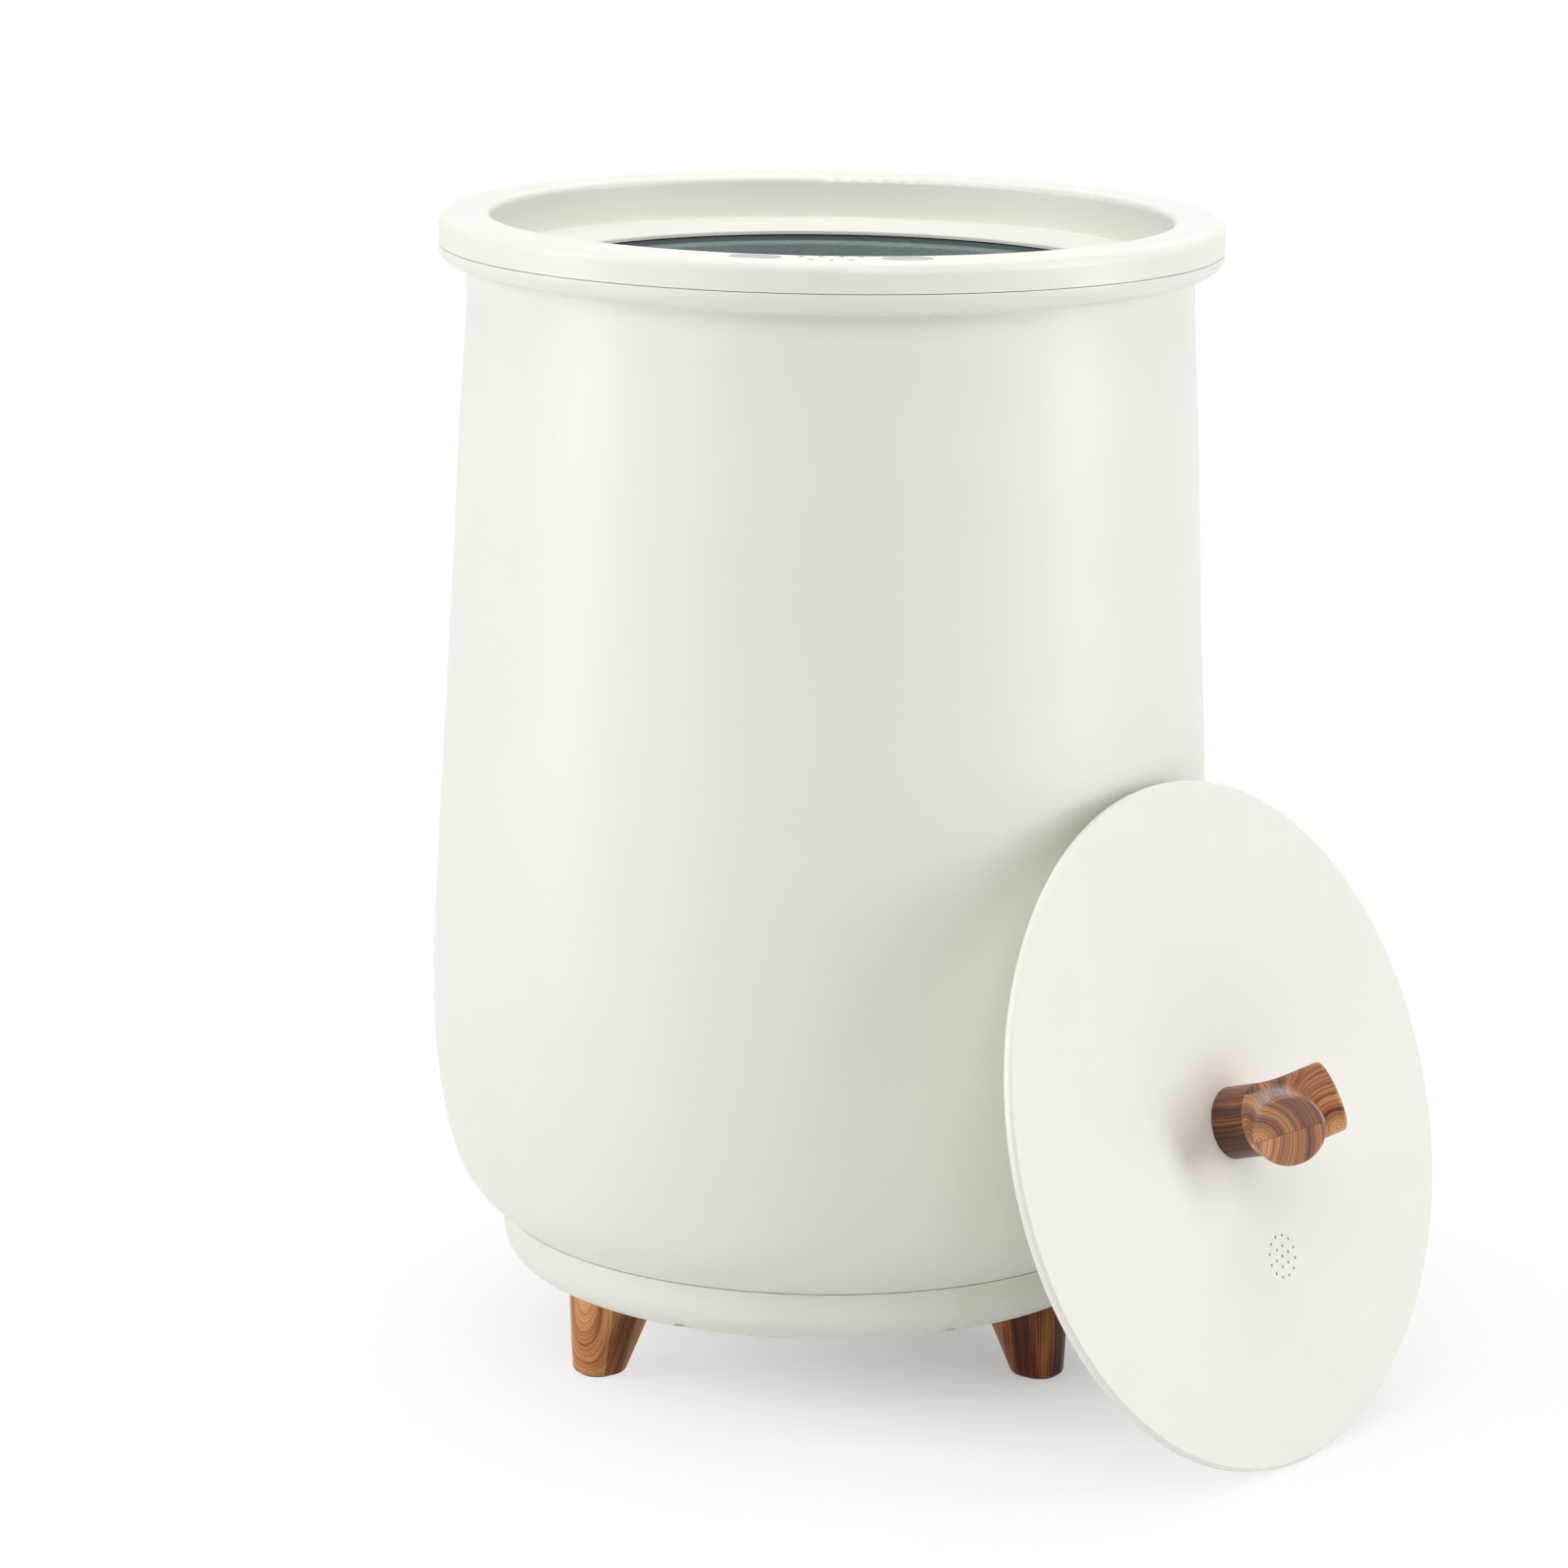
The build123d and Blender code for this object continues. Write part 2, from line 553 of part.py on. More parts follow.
def make_temperature_sensor():
    top = LINER_FLOOR_Z - LINER_WALL
    return Pos(0, 34, 0) * (rod(6.0, top - 1.5, top) + rod(3.0, top - 9.0, top - 1.0))


def make_cord_gland():
    """Bushing in the base's rear wall; the mains lead passes through its bore."""
    back = GLAND_BACK_Y - 3.0
    body = rod(GLAND_NECK_R, back, GLAND_FACE_Y) + rod(8.0, GLAND_FACE_Y, GLAND_FACE_Y + 3.0)
    body += rod(6.8, back, GLAND_BACK_Y)
    body = fillet(body.edges().group_by(Axis.Z)[-1], 1.0)
    body -= rod(CORD_R, back - 1, GLAND_FACE_Y + 5)
    return Pos(0, 0, GLAND_Z) * Rot(-90, 0, 0) * body


def make_control_lead():
    """Flat-wired lead from the control board down the front of the cavity to the power board."""
    x, y = CONTROL_LEAD_X, -CONTROL_LEAD_Y
    return lead([(x, y, BOARD_TOP_Z - BOARD_THICK), (x, y, 450.0), (x, -141.0, 434.0), (x, -141.0, 120.0),
                 (x, -112.0, 84.0), (x, -30.0, 74.0), (x, -30.0, POWER_TOP_Z)], 1.3, 4.0)


def make_heater_leads():
    """Two leads from the ends of the heating blanket down to the terminal block."""
    leads = []
    for side in (-1, 1):
        x = 8.0 * side
        end_x = 8 + 9 * side
        leads.append(lead([(x, 117.8, HEATER_LOW), (x, 117.8, 104.0), (x, 92.0, 80.0), (end_x, 60.0, 61.0),
                           (end_x, 32.0, 61.0)], 1.2, 5.0))
    return leads


def write(name, shape):
    """Write one node; a list becomes a group of separate solids."""
    if isinstance(shape, list):
        shape = Compound(children=[s.solid() if hasattr(s, "solid") else s for s in shape])
    export_step(shape, os.path.join("parts", name + ".step"))


# ---------------------------------------------------------------- lid
def lid_frame():
    """Place of the leaning lid: local +Z is its face's normal, local X the handle's arms."""
    azimuth, lean = radians(LID_AZIMUTH), radians(LID_LEAN)
    normal = Vector(cos(azimuth) * cos(lean), sin(azimuth) * cos(lean), sin(lean))
    across = Vector(-sin(azimuth), cos(azimuth), 0)
    plane = Plane(origin=LID_CENTRE, x_dir=across, z_dir=normal)
    return plane.location * Rot(0, 0, LID_SPIN)


def make_lid_top():
    """Thin disc with a slight crown, a lip round its edge and a screw boss for the handle."""
    ball = ((LID_R - 1.2) ** 2 + CROWN ** 2) / (2 * CROWN)
    middle = 70.0
    crown = ThreePointArc((0, CROWN), (middle, CROWN - ball + (ball ** 2 - middle ** 2) ** 0.5),
                          (LID_R - 1.2, 0))
    edge = Polyline((LID_R - 1.2, 0), (LID_R, -1.2), (LID_R, -LID_EDGE + 0.6), (LID_R - 0.6, -LID_EDGE),
                    (LID_R - 3.4, -LID_EDGE), (LID_R - 3.4, -LID_PLATE), (0, -LID_PLATE), (0, CROWN))
    lid = turned(make_face([crown, edge]))
    lid += rod(7.0, -9.0, -LID_PLATE + 0.5)
    lid -= rod(2.6, -10.0, 2.0)
    for x, y in vent_places():
        lid -= Pos(x, y, 0) * rod(VENT_HOLE_R, -LID_PLATE - 1, CROWN + 1)
    return lid


def vent_places():
    places = [(0.0, VENT_Y)]
    for radius, count in VENT_RINGS:
        for i in range(count):
            angle = 2 * pi * i / count
            places.append((radius * cos(angle), VENT_Y + radius * sin(angle)))
    return places


def make_lid_inner():
    """Plug that closes the bucket's mouth, with the cup of the scent pad moulded in."""
    flange_r = LID_R - 8.0
    skin = 1.8
    plug = turned(outline([
        (0, -LID_DEPTH), (PLUG_R, -LID_DEPTH, 5.0), (PLUG_R, -LID_EDGE), (flange_r, -LID_EDGE),
        (flange_r, -LID_PLATE), (PLUG_R - skin, -LID_PLATE), (PLUG_R - skin, -LID_DEPTH + skin, 3.4),
        (0, -LID_DEPTH + skin)]))
    cup = Pos(0, VENT_Y, 0)
    plug += cup * rod(CUP_R + CUP_WALL, -LID_DEPTH, -LID_PLATE)
    plug -= cup * rod(CUP_R, -LID_DEPTH - 1, -LID_PLATE + 1)
    plug -= cup * rod(CUP_R + 1.4, GROOVE_LOW, GROOVE_LOW + 2.2)
    for side in (0, 180):
        plug -= cup * Rot(0, 0, side) * Pos(CUP_R, 0, (GROOVE_LOW - LID_DEPTH) / 2) * Box(
            2.8, 9.0, GROOVE_LOW + LID_DEPTH + 2)
    return plug


def make_lid_insulation():
    low, high = -LID_DEPTH + 1.8, -LID_PLATE
    foam = rod(PLUG_R - 6.0, low, high) - rod(8.0, low - 1, high + 1)
    return foam - Pos(0, VENT_Y, 0) * rod(CUP_R + CUP_WALL, low - 1, high + 1)


def make_lid_gasket():
    return tube(LID_R - 3.4, LID_R - 8.0, -LID_EDGE, -LID_PLATE)


def arm_axis(side):
    """Frame of one arm of the handle: local +Z runs from the fork outwards."""
    return Pos(0, 0, CROWN + STEM) * Rot(0, side * ARM_ANGLE, 0)


def make_handle():
    """Forked wooden grip: two round branches that share a stem and bend apart to flat ends."""
    grip = None
    for side in (-1, 1):
        tip = (arm_axis(side) * Pos(0, 0, ARM)).position
        path = FilletPolyline((0, 0, CROWN), (0, 0, CROWN + STEM), tuple(tip), radius=HANDLE_BEND)
        branch = sweep(Plane(origin=path @ 0, z_dir=path % 0) * Circle(HANDLE_R), path=path)
        grip = branch if grip is None else grip + branch
    for side in (-1, 1):
        tip = (arm_axis(side) * Pos(0, 0, ARM)).position
        rim = [e for e in grip.edges().filter_by(GeomType.CIRCLE) if (e.arc_center - tip).length < 0.01]
        grip = fillet(rim, HANDLE_TIP_ROUND)
    return grip - rod(HANDLE_BORE, 0, CROWN + 21.0)


def make_handle_insert():
    return rod(HANDLE_BORE, CROWN + 2.0, CROWN + 20.0) - rod(2.5, 0, CROWN + 30.0)


def make_handle_screw():
    return Pos(0, 0, -9.0) * pan_screw(2.5, 26.0, 4.4, 3.0)


def make_aroma_pad():
    return Pos(0, VENT_Y, 0) * rod(CUP_R - 1.0, -LID_PLATE - 5.4, -LID_PLATE - 0.8)


def make_aroma_cap():
    """Perforated bayonet cap that keeps the scent pad in its cup."""
    top = GROOVE_LOW + 2.2
    cap = rod(CUP_R - 0.4, -LID_DEPTH + 0.3, top - 0.2) - rod(CUP_R - 1.8, -LID_DEPTH + 1.8, top)
    for side in (0, 180):
        lug = Pos(CUP_R - 0.5, 0, GROOVE_LOW + 1.1) * Box(2.4, 6.5, 1.6)
        cap += Rot(0, 0, side + LUG_TURN) * (lug & rod(CUP_R + 1.0, GROOVE_LOW, GROOVE_LOW + 2.2))
    for i in range(8):
        cap -= Rot(0, 0, i * 45) * Pos(8.0, 0, -LID_DEPTH) * Cylinder(1.3, 6)
    cap += Pos(0, 0, -LID_DEPTH + 1.0) * Box(9.0, 1.8, 1.4)
    return Pos(0, VENT_Y, 0) * cap


def write_bucket():
    write("outer_shell", make_outer_shell())
    write("support_ring", make_support_ring())
    write("rim_cap", make_rim_cap())
    write("inner_bucket", make_inner_bucket())
    write("liner_seal", make_liner_seal())
    write("heating_wrap", make_heating_wrap())
    write("insulation_wrap", make_insulation_wrap())
    write("base_insulation", make_base_insulation())
    write("base_cover", make_base_cover())
    write("base_screws", make_base_screws())
    write("rim_screws", make_rim_screws())
    write("cord_gland", make_cord_gland())


def write_feet():
    for name, azimuth in FOOT_AZIMUTHS.items():
        write(name + "_foot", make_foot(azimuth))
        write(name + "_foot_pad", make_foot_pad(azimuth))
    write("foot_inserts", make_foot_inserts())
    write("foot_bolts", make_foot_bolts())


def write_electrics():
    write("power_button", make_button(-1))
    write("timer_button", make_button(1))
    write("control_board", make_control_board())
    write("board_screws", make_board_screws())
    write("tact_switches", make_tact_switches())
    write("indicator_leds", make_indicator_leds())
    write("light_pipes", make_light_pipes())
    write("power_board", make_power_board())
    write("power_board_screws", make_power_board_screws())
    write("power_relay", make_power_relay())
    write("terminal_block", make_terminal_block())
    write("filter_capacitor", make_filter_capacitor())
    write("supply_transformer", make_supply_transformer())
    write("thermostat", make_thermostat())
    write("thermal_fuse", make_thermal_fuse())
    write("temperature_sensor", make_temperature_sensor())
    write("control_lead", make_control_lead())
    write("heater_leads", make_heater_leads())


def write_lid():
    place = lid_frame()
    makers = {
        "lid_top": make_lid_top, "lid_inner": make_lid_inner, "lid_insulation": make_lid_insulation,
        "lid_gasket": make_lid_gasket, "handle": make_handle, "handle_insert": make_handle_insert,
        "handle_screw": make_handle_screw, "aroma_pad": make_aroma_pad, "aroma_cap": make_aroma_cap}
    for name, maker in makers.items():
        write(name, place * maker())


os.makedirs("parts", exist_ok=True)
write_bucket()
write_feet()
write_electrics()
write_lid()
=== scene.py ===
import json
import math
from collections import namedtuple
import bmesh
import bpy
from mathutils import Matrix, Vector


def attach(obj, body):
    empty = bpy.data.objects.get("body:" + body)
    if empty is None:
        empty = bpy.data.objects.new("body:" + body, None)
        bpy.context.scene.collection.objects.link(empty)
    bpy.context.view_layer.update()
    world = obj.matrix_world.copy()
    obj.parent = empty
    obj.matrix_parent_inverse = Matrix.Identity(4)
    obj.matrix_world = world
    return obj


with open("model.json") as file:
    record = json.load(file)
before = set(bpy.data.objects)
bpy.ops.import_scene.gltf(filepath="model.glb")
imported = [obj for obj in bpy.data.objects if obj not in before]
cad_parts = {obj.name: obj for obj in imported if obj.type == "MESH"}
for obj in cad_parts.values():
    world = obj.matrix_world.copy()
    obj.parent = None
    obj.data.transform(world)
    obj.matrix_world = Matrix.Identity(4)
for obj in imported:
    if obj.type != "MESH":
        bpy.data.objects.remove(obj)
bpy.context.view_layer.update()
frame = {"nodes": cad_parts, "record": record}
nodes = frame["nodes"]

# Looks, camera and light of the towel warmer bucket. Lengths are in metres, z points up, and the
# control panel faces -Y.
WHITE = (1.0, 1.0, 1.0)


def new_object(name, data):
    """Object in the scene, at the origin."""
    made = bpy.data.objects.new(name, data)
    bpy.context.scene.collection.objects.link(made)
    return made


# ------------------------------------------------------------------ node trees
class Wire:
    """An output socket that takes part in sums, products and comparisons."""

    def __init__(self, wiring, socket):
        self.wiring = wiring
        self.socket = socket

    def maths(self, operation, *values):
        """A Math node on the values, which are wires or numbers."""
        return self.wiring.node("ShaderNodeMath", {"operation": operation}, dict(enumerate(values)))

    def __add__(self, other):
        return self.maths("ADD", self, other)

    __radd__ = __add__

    def __sub__(self, other):
        return self.maths("SUBTRACT", self, other)

    def __rsub__(self, other):
        return self.maths("SUBTRACT", other, self)

    def __mul__(self, other):
        return self.maths("MULTIPLY", self, other)

    __rmul__ = __mul__

    def __truediv__(self, other):
        return self.maths("DIVIDE", self, other)

    def __rtruediv__(self, other):
        return self.maths("DIVIDE", other, self)

    def __pow__(self, other):
        return self.maths("POWER", self, other)

    def __rpow__(self, other):
        return self.maths("POWER", other, self)

    def __gt__(self, other):
        return self.maths("GREATER_THAN", self, other)

    def __lt__(self, other):
        return self.maths("LESS_THAN", self, other)

    def __abs__(self):
        return self.maths("ABSOLUTE", self)

    def root(self):
        return self.maths("SQRT", self)

    def fraction(self):
        return self.maths("FRACT", self)


class Wiring:
    """A node tree of any kind, written as expressions on its wires."""

    def __init__(self, tree):
        self.tree = tree
        tree.nodes.clear()

    def node(self, kind, settings=None, values=None, out=0):
        """Add a node and return the wire that leaves it.

        Its settings and ramp stops are set first, then its sockets, by name or number."""
        made = self.tree.nodes.new(kind)
        for key, value in (settings or {}).items():
            if key == "stops":
                ramp = made.color_ramp
                while len(ramp.elements) < len(value):
                    ramp.elements.new(0.5)
                for stop, (at, colour) in zip(ramp.elements, value):
                    stop.position = at
                    stop.color = (*colour, 1)
            else:
                setattr(made, key, value)
        for key, value in (values or {}).items():
            if isinstance(value, Wire):
                self.tree.links.new(value.socket, made.inputs[key])
            else:
                made.inputs[key].default_value = value
        return Wire(self, made.outputs[out]) if len(made.outputs) else None

    def axes(self, vector):
        """The three numbers of a vector."""
        first = self.node("ShaderNodeSeparateXYZ", values={0: vector})
        return [Wire(self, socket) for socket in first.socket.node.outputs]

    def vector(self, x, y, z):
        return self.node("ShaderNodeCombineXYZ", values={0: x, 1: y, 2: z})

    def seen(self):
        """1 for a camera, glossy or transmission ray, and 0 for any other."""
        rays = self.node("ShaderNodeLightPath").socket.node.outputs
        camera, glossy, through = [
            Wire(self, rays["Is %s Ray" % kind]) for kind in ("Camera", "Glossy", "Transmission")]
        return camera.maths("MAXIMUM", camera, glossy.maths("MAXIMUM", glossy, through))


class Finish(Wiring):
    """A procedural material on Object coordinates."""

    def __init__(self, name):
        self.material = bpy.data.materials.new(name)
        self.material.use_nodes = True
        super().__init__(self.material.node_tree)
        self.place = self.node("ShaderNodeTexCoord", out="Object")

    def noise(self, scale, detail, rough=0.5, place=None, distortion=0.0):
        """Noise about 0.5; on a plain place, scale is the number of its features in a metre."""
        return self.node("ShaderNodeTexNoise", values={
            "Vector": place or self.place, "Scale": scale, "Detail": detail, "Roughness": rough,
            "Distortion": distortion}, out="Fac")

    def mix(self, factor, a, b):
        """Blend two colours, each of them a wire or a plain (red, green, blue)."""
        a, b = [v if isinstance(v, Wire) else (*v, 1) for v in (a, b)]
        return self.node("ShaderNodeMix", {"data_type": "RGBA"}, {0: factor, 6: a, 7: b}, out=2)

    def ramp(self, factor, stops):
        return self.node("ShaderNodeValToRGB", {"stops": stops}, {0: factor}, out="Color")

    def bump(self, height, strength, distance):
        return self.node("ShaderNodeBump", values={
            "Strength": strength, "Distance": distance, "Height": height}, out="Normal")

    def done(self, **sockets):
        """Close with the surface; spaces in a socket's name are written as underscores."""
        values = {key.replace("_", " "): value for key, value in sockets.items()}
        surface = self.node("ShaderNodeBsdfPrincipled", values=values)
        self.node("ShaderNodeOutputMaterial", values={"Surface": surface})
        return self.material


def shade(red, green, blue):
    """Linear colour of three screen values from 0 to 255."""
    def linear(value):
        value = value / 255
        return value / 12.92 if value <= 0.04045 else ((value + 0.055) / 1.055) ** 2.4
    return linear(red), linear(green), linear(blue)


def tinted(colour, factor, lift=0.0):
    """A darker or lighter tint of a linear colour."""
    return tuple(min(v * factor + lift, 1.0) for v in colour)


# ------------------------------------------------------------------ finishes
def satin_plastic(name, colour, roughness=0.36):
    """Moulded plastic with a faint cloudiness and a very fine spark-eroded grain."""
    f = Finish(name)
    cloud = f.noise(scale=7.0, detail=4.0)
    grain = f.noise(scale=2600.0, detail=2.0)
    flow = f.noise(scale=38.0, detail=3.0)
    tone = f.mix(cloud * 0.7 + flow * 0.3, tinted(colour, 0.955), tinted(colour, 1.03))
    return f.done(Base_Color=tone, Roughness=roughness - 0.05 + cloud * 0.06 + grain * 0.05,
                  Normal=f.bump(grain + flow * 2.0, strength=0.06, distance=0.00012))


Block = namedtuple("Block", "heart grain depth lacquer glued_at glue_facing", defaults=(None, None))
GLUE_HALF = 0.00016    # half the thickness of a glue line
FINE_WAVER = 0.0006    # how far small wavers move a growth ring
WALNUT_TONES = [(0.06, shade(230, 172, 116)), (0.28, shade(202, 138, 84)), (0.48, shade(154, 93, 52)),
                (0.68, shade(98, 52, 29)), (0.94, shade(46, 23, 14))]


def walnut(name, blocks, drift=0.0035, rings=900.0):
    """Lacquered walnut: growth rings round a pith, pores along it, and pale and dark streaks.

    The heart of a block is a point of its pith, and its grain is the pith's direction. Depth
    darkens the block, and lacquer is the weight of its glossy coat. Each block after the first
    lies behind a glue line, which goes through a point and faces one way.
    Drift is how far the rings wander, and rings is their number in a metre."""
    f = Finish(name)

    def about_pith(block):
        return f.node("ShaderNodeMapping", {"vector_type": "TEXTURE"}, {
            "Vector": f.place, "Location": block.heart,
            "Rotation": block.grain.to_track_quat("Z", "Y").to_euler()})

    x, y, z = f.axes(f.place)
    first, *others = blocks
    local, tint, coat, glue = about_pith(first), first.depth, first.lacquer, 0.0
    for block in others:
        facing = block.glue_facing
        above = x * facing.x + y * facing.y + z * facing.z - block.glued_at.dot(facing)
        behind = above < 0.0
        local = f.node("ShaderNodeMix", {"data_type": "VECTOR"},
                       {0: behind, 4: local, 5: about_pith(block)}, out=1)
        glue = (1.0 - behind) * glue + (abs(above) < GLUE_HALF)
        tint = (1.0 - behind) * tint + behind * block.depth
        coat = (1.0 - behind) * coat + behind * block.lacquer

    # Distance from the pith, with a slow wander and a fine waver along the grain.
    x, y, z = f.axes(local)
    wander = f.noise(scale=34.0, detail=2.0, place=f.vector(x, y, z * 0.45)) - 0.5
    waver = f.noise(scale=170.0, detail=2.0, place=f.vector(x, y, z * 0.3)) - 0.5
    distance = (x * x + y * y).root() + wander * drift + waver * FINE_WAVER

    # Years of uneven width, each darker towards its late wood, then fibres and broad streaks.
    years = f.noise(scale=170.0, detail=1.0, place=f.vector(distance, 0.0, 0.0)) - 0.5
    late = (distance * rings + years * 4.0).fraction() ** 2.0
    fibres = f.noise(scale=1500.0, detail=2.0, place=f.vector(distance, 0.0, z * 0.02))
    streaks = f.noise(scale=190.0, detail=3.0, place=f.vector(distance, 0.0, z * 0.06))
    tone = late * 0.22 + fibres * 0.60 + streaks * 1.40 + distance * 11.0 + tint - 0.66

    # Pores are dark dashes, twenty times as long as they are wide.
    specks = f.noise(scale=1.0, detail=1.0, place=f.vector(x * 2600.0, y * 2600.0, z * 130.0))
    pores = (specks > 0.68) * 0.35
    colour = f.mix(pores + glue * 0.6, f.ramp(tone, WALNUT_TONES), shade(52, 28, 18))
    height = late * 0.3 + pores * -0.8 + fibres * 0.2 - glue * 0.5
    return f.done(Base_Color=colour, Roughness=0.46 + late * 0.06 + pores * 0.1, Specular_IOR_Level=0.15,
                  Coat_Weight=coat, Coat_Roughness=0.24, Coat_IOR=1.36 + 0.28 * first.lacquer,
                  Normal=f.bump(height, strength=0.12, distance=0.00012))


def satin_liner(name):
    """Blue-grey anodised aluminium, fine blasted speckle over faint turning marks."""
    f = Finish(name)
    height = f.axes(f.place)[2]
    speck = f.noise(scale=1100.0, detail=2.0)
    fleck = f.noise(scale=420.0, detail=3.0, rough=0.7)
    turning = f.noise(scale=900.0, detail=1.0, place=f.vector(0.0, 0.0, height))
    cloud = f.noise(scale=14.0, detail=3.0)
    tone = f.mix(cloud * 0.3 + speck * 0.35 + fleck * 0.35, shade(100, 116, 120), shade(160, 174, 176))
    return f.done(Base_Color=tone, Metallic=0.25, Roughness=0.52 + speck * 0.10 + turning * 0.08,
                  Normal=f.bump(speck * 0.8 + fleck * 0.5 + turning * 0.4, strength=0.25, distance=0.0001))


def brushed_metal(name, colour, roughness=0.3):
    """Bare metal with short upright brush lines and a faint change of tint."""
    f = Finish(name)
    x, y, z = f.axes(f.place)
    lines = f.noise(scale=1.0, detail=2.0, place=f.vector(x * 3000.0, y * 3000.0, z * 240.0))
    tint = f.noise(scale=90.0, detail=3.0)
    return f.done(Base_Color=f.mix(tint, tinted(colour, 0.86), colour), Metallic=1.0,
                  Roughness=roughness + lines * 0.12,
                  Normal=f.bump(lines, strength=0.15, distance=0.00005))


def soft_rubber(name, colour, roughness=0.62):
    """Matt rubber or silicone with a fine grain and a little dust."""
    f = Finish(name)
    grain = f.noise(scale=1800.0, detail=3.0)
    dust = f.noise(scale=60.0, detail=4.0)
    return f.done(Base_Color=f.mix(dust * 0.6, colour, tinted(colour, 1.35, lift=0.01)),
                  Roughness=roughness + grain * 0.12,
                  Normal=f.bump(grain, strength=0.2, distance=0.00015))


def needled_felt(name, colour):
    """Matted fibres in loose clumps."""
    f = Finish(name)
    fibres = f.noise(scale=700.0, detail=5.0, rough=0.7, distortion=2.2)
    clumps = f.noise(scale=70.0, detail=4.0)
    return f.done(Base_Color=f.mix(fibres * 0.6 + clumps * 0.4, tinted(colour, 0.72), colour),
                  Roughness=0.92, Normal=f.bump(fibres + clumps, strength=0.7, distance=0.0012))


def circuit_board(name):
    """Green solder mask over a fine glass weave, with paler copper tracks under it."""
    f = Finish(name)
    cells = f.node("ShaderNodeTexVoronoi", {"feature": "DISTANCE_TO_EDGE"},
                   {"Vector": f.place, "Scale": 210.0}, out="Distance")
    track = cells < 0.07
    weave = f.noise(scale=1400.0, detail=2.0)
    mask = f.mix(weave, shade(16, 70, 38), shade(24, 88, 50))
    return f.done(Base_Color=f.mix(track * 0.75, mask, shade(52, 128, 78)), Roughness=0.34 + weave * 0.1,
                  Normal=f.bump(track * 0.5 + weave * 0.1, strength=0.3, distance=0.00008))


def frosted_pad(name):
    """Light-grey key of a milky plastic, faintly clouded."""
    f = Finish(name)
    frost = f.noise(scale=2200.0, detail=2.0)
    cloud = f.noise(scale=90.0, detail=2.0)
    return f.done(Base_Color=f.mix(cloud, shade(164, 168, 170), shade(184, 187, 189)),
                  Roughness=0.30 + frost * 0.1, Normal=f.bump(frost, strength=0.08, distance=0.00008))


def dress(node, material):
    """Give a CAD node its own material."""
    nodes[node].data.materials.clear()
    nodes[node].data.materials.append(material)


# One finish for each material slot but the wood's, whose pieces each have a walnut of their own.
finishes = {
    "cream_plastic": satin_plastic("cream_plastic", shade(242, 239, 231)),
    "liner_aluminium": satin_liner("liner_aluminium"),
    "silicone": soft_rubber("grey_silicone", shade(150, 150, 146), 0.45),
    "seal_rubber": soft_rubber("liner_seal", shade(104, 112, 114)),
    "heater_silicone": soft_rubber("heating_blanket", shade(176, 84, 56)),
    "felt": needled_felt("white_felt", shade(226, 224, 216)),
    "foam": needled_felt("lid_foam", shade(238, 236, 230)),
    "steel": brushed_metal("zinc_steel", shade(190, 191, 194)),
    "brass": brushed_metal("turned_brass", shade(206, 170, 104), 0.24),
    "black_plastic": satin_plastic("black_plastic", shade(38, 38, 40), 0.5),
    "foot_rubber": soft_rubber("foot_rubber", shade(52, 48, 44)),
    "button_grey": frosted_pad("frosted_pad"),
    "cap_grey": satin_plastic("cap_grey", shade(204, 203, 200), 0.42),
    "indicator_smoke": satin_plastic("indicator_smoke", shade(44, 41, 38), 0.4),
    "led_white": satin_plastic("led_white", shade(240, 236, 214), 0.3),
    "circuit_board": circuit_board("circuit_board"),
    "relay_blue": satin_plastic("relay_blue", shade(40, 92, 160), 0.4),
    "wire_grey": soft_rubber("wire_grey", shade(176, 176, 178), 0.5),
}
for part in frame["record"]["subparts"]:
    if part["material_slot"] in finishes:
        dress(part["node"], finishes[part["material_slot"]])

# ------------------------------------------------------------------ wood of the feet
RIGHT_FOOT, REAR_FOOT, LEFT_FOOT = 64, 182, 300    # azimuths in degrees, from the front towards +X
SOLE_DISTANCE = 0.1076                             # from the bucket's axis to the middle of a sole
FOOT_SPLAY = math.radians(11.2)
FOOT_LACQUER = 0.2
PITH_ASIDE, PITH_BACK = 0.050, 0.010               # from a sole to a pith that lies beside its foot


def outward(azimuth):
    """Level direction from the bucket's axis to the foot at an azimuth."""
    angle = math.radians(azimuth)
    return Vector((math.sin(angle), -math.cos(angle), 0))


def left_foot_blocks():
    """A left block with its pith near the surface, and a right one with nearly straight rings."""
    out = outward(LEFT_FOOT)
    foot_axis = Vector((0, 0, math.cos(FOOT_SPLAY))) - out * math.sin(FOOT_SPLAY)
    return [
        Block(heart=Vector((-0.0985, -0.0665, 0.054)), grain=Vector((0.125, 0.265, -0.956)),
              depth=-0.42, lacquer=FOOT_LACQUER),
        Block(heart=out * SOLE_DISTANCE + Vector((PITH_ASIDE, PITH_BACK, 0)), grain=foot_axis,
              depth=-0.45, lacquer=FOOT_LACQUER, glued_at=Vector((-0.0867, -0.0549, 0.0260)),
              glue_facing=Vector((-0.9933, -0.0010, 0.1154)))]


dress("left_foot", walnut("walnut_left_foot", left_foot_blocks(), drift=0.0020, rings=1900.0))
for side, azimuth in (("right", RIGHT_FOOT), ("rear", REAR_FOOT)):
    block = Block(heart=outward(azimuth) * SOLE_DISTANCE + Vector((-PITH_ASIDE, PITH_BACK, 0)),
                  grain=Vector((0.03, 0, 1)), depth=-0.31, lacquer=FOOT_LACQUER)
    dress(side + "_foot", walnut("walnut_%s_foot" % side, [block], drift=0.0030))

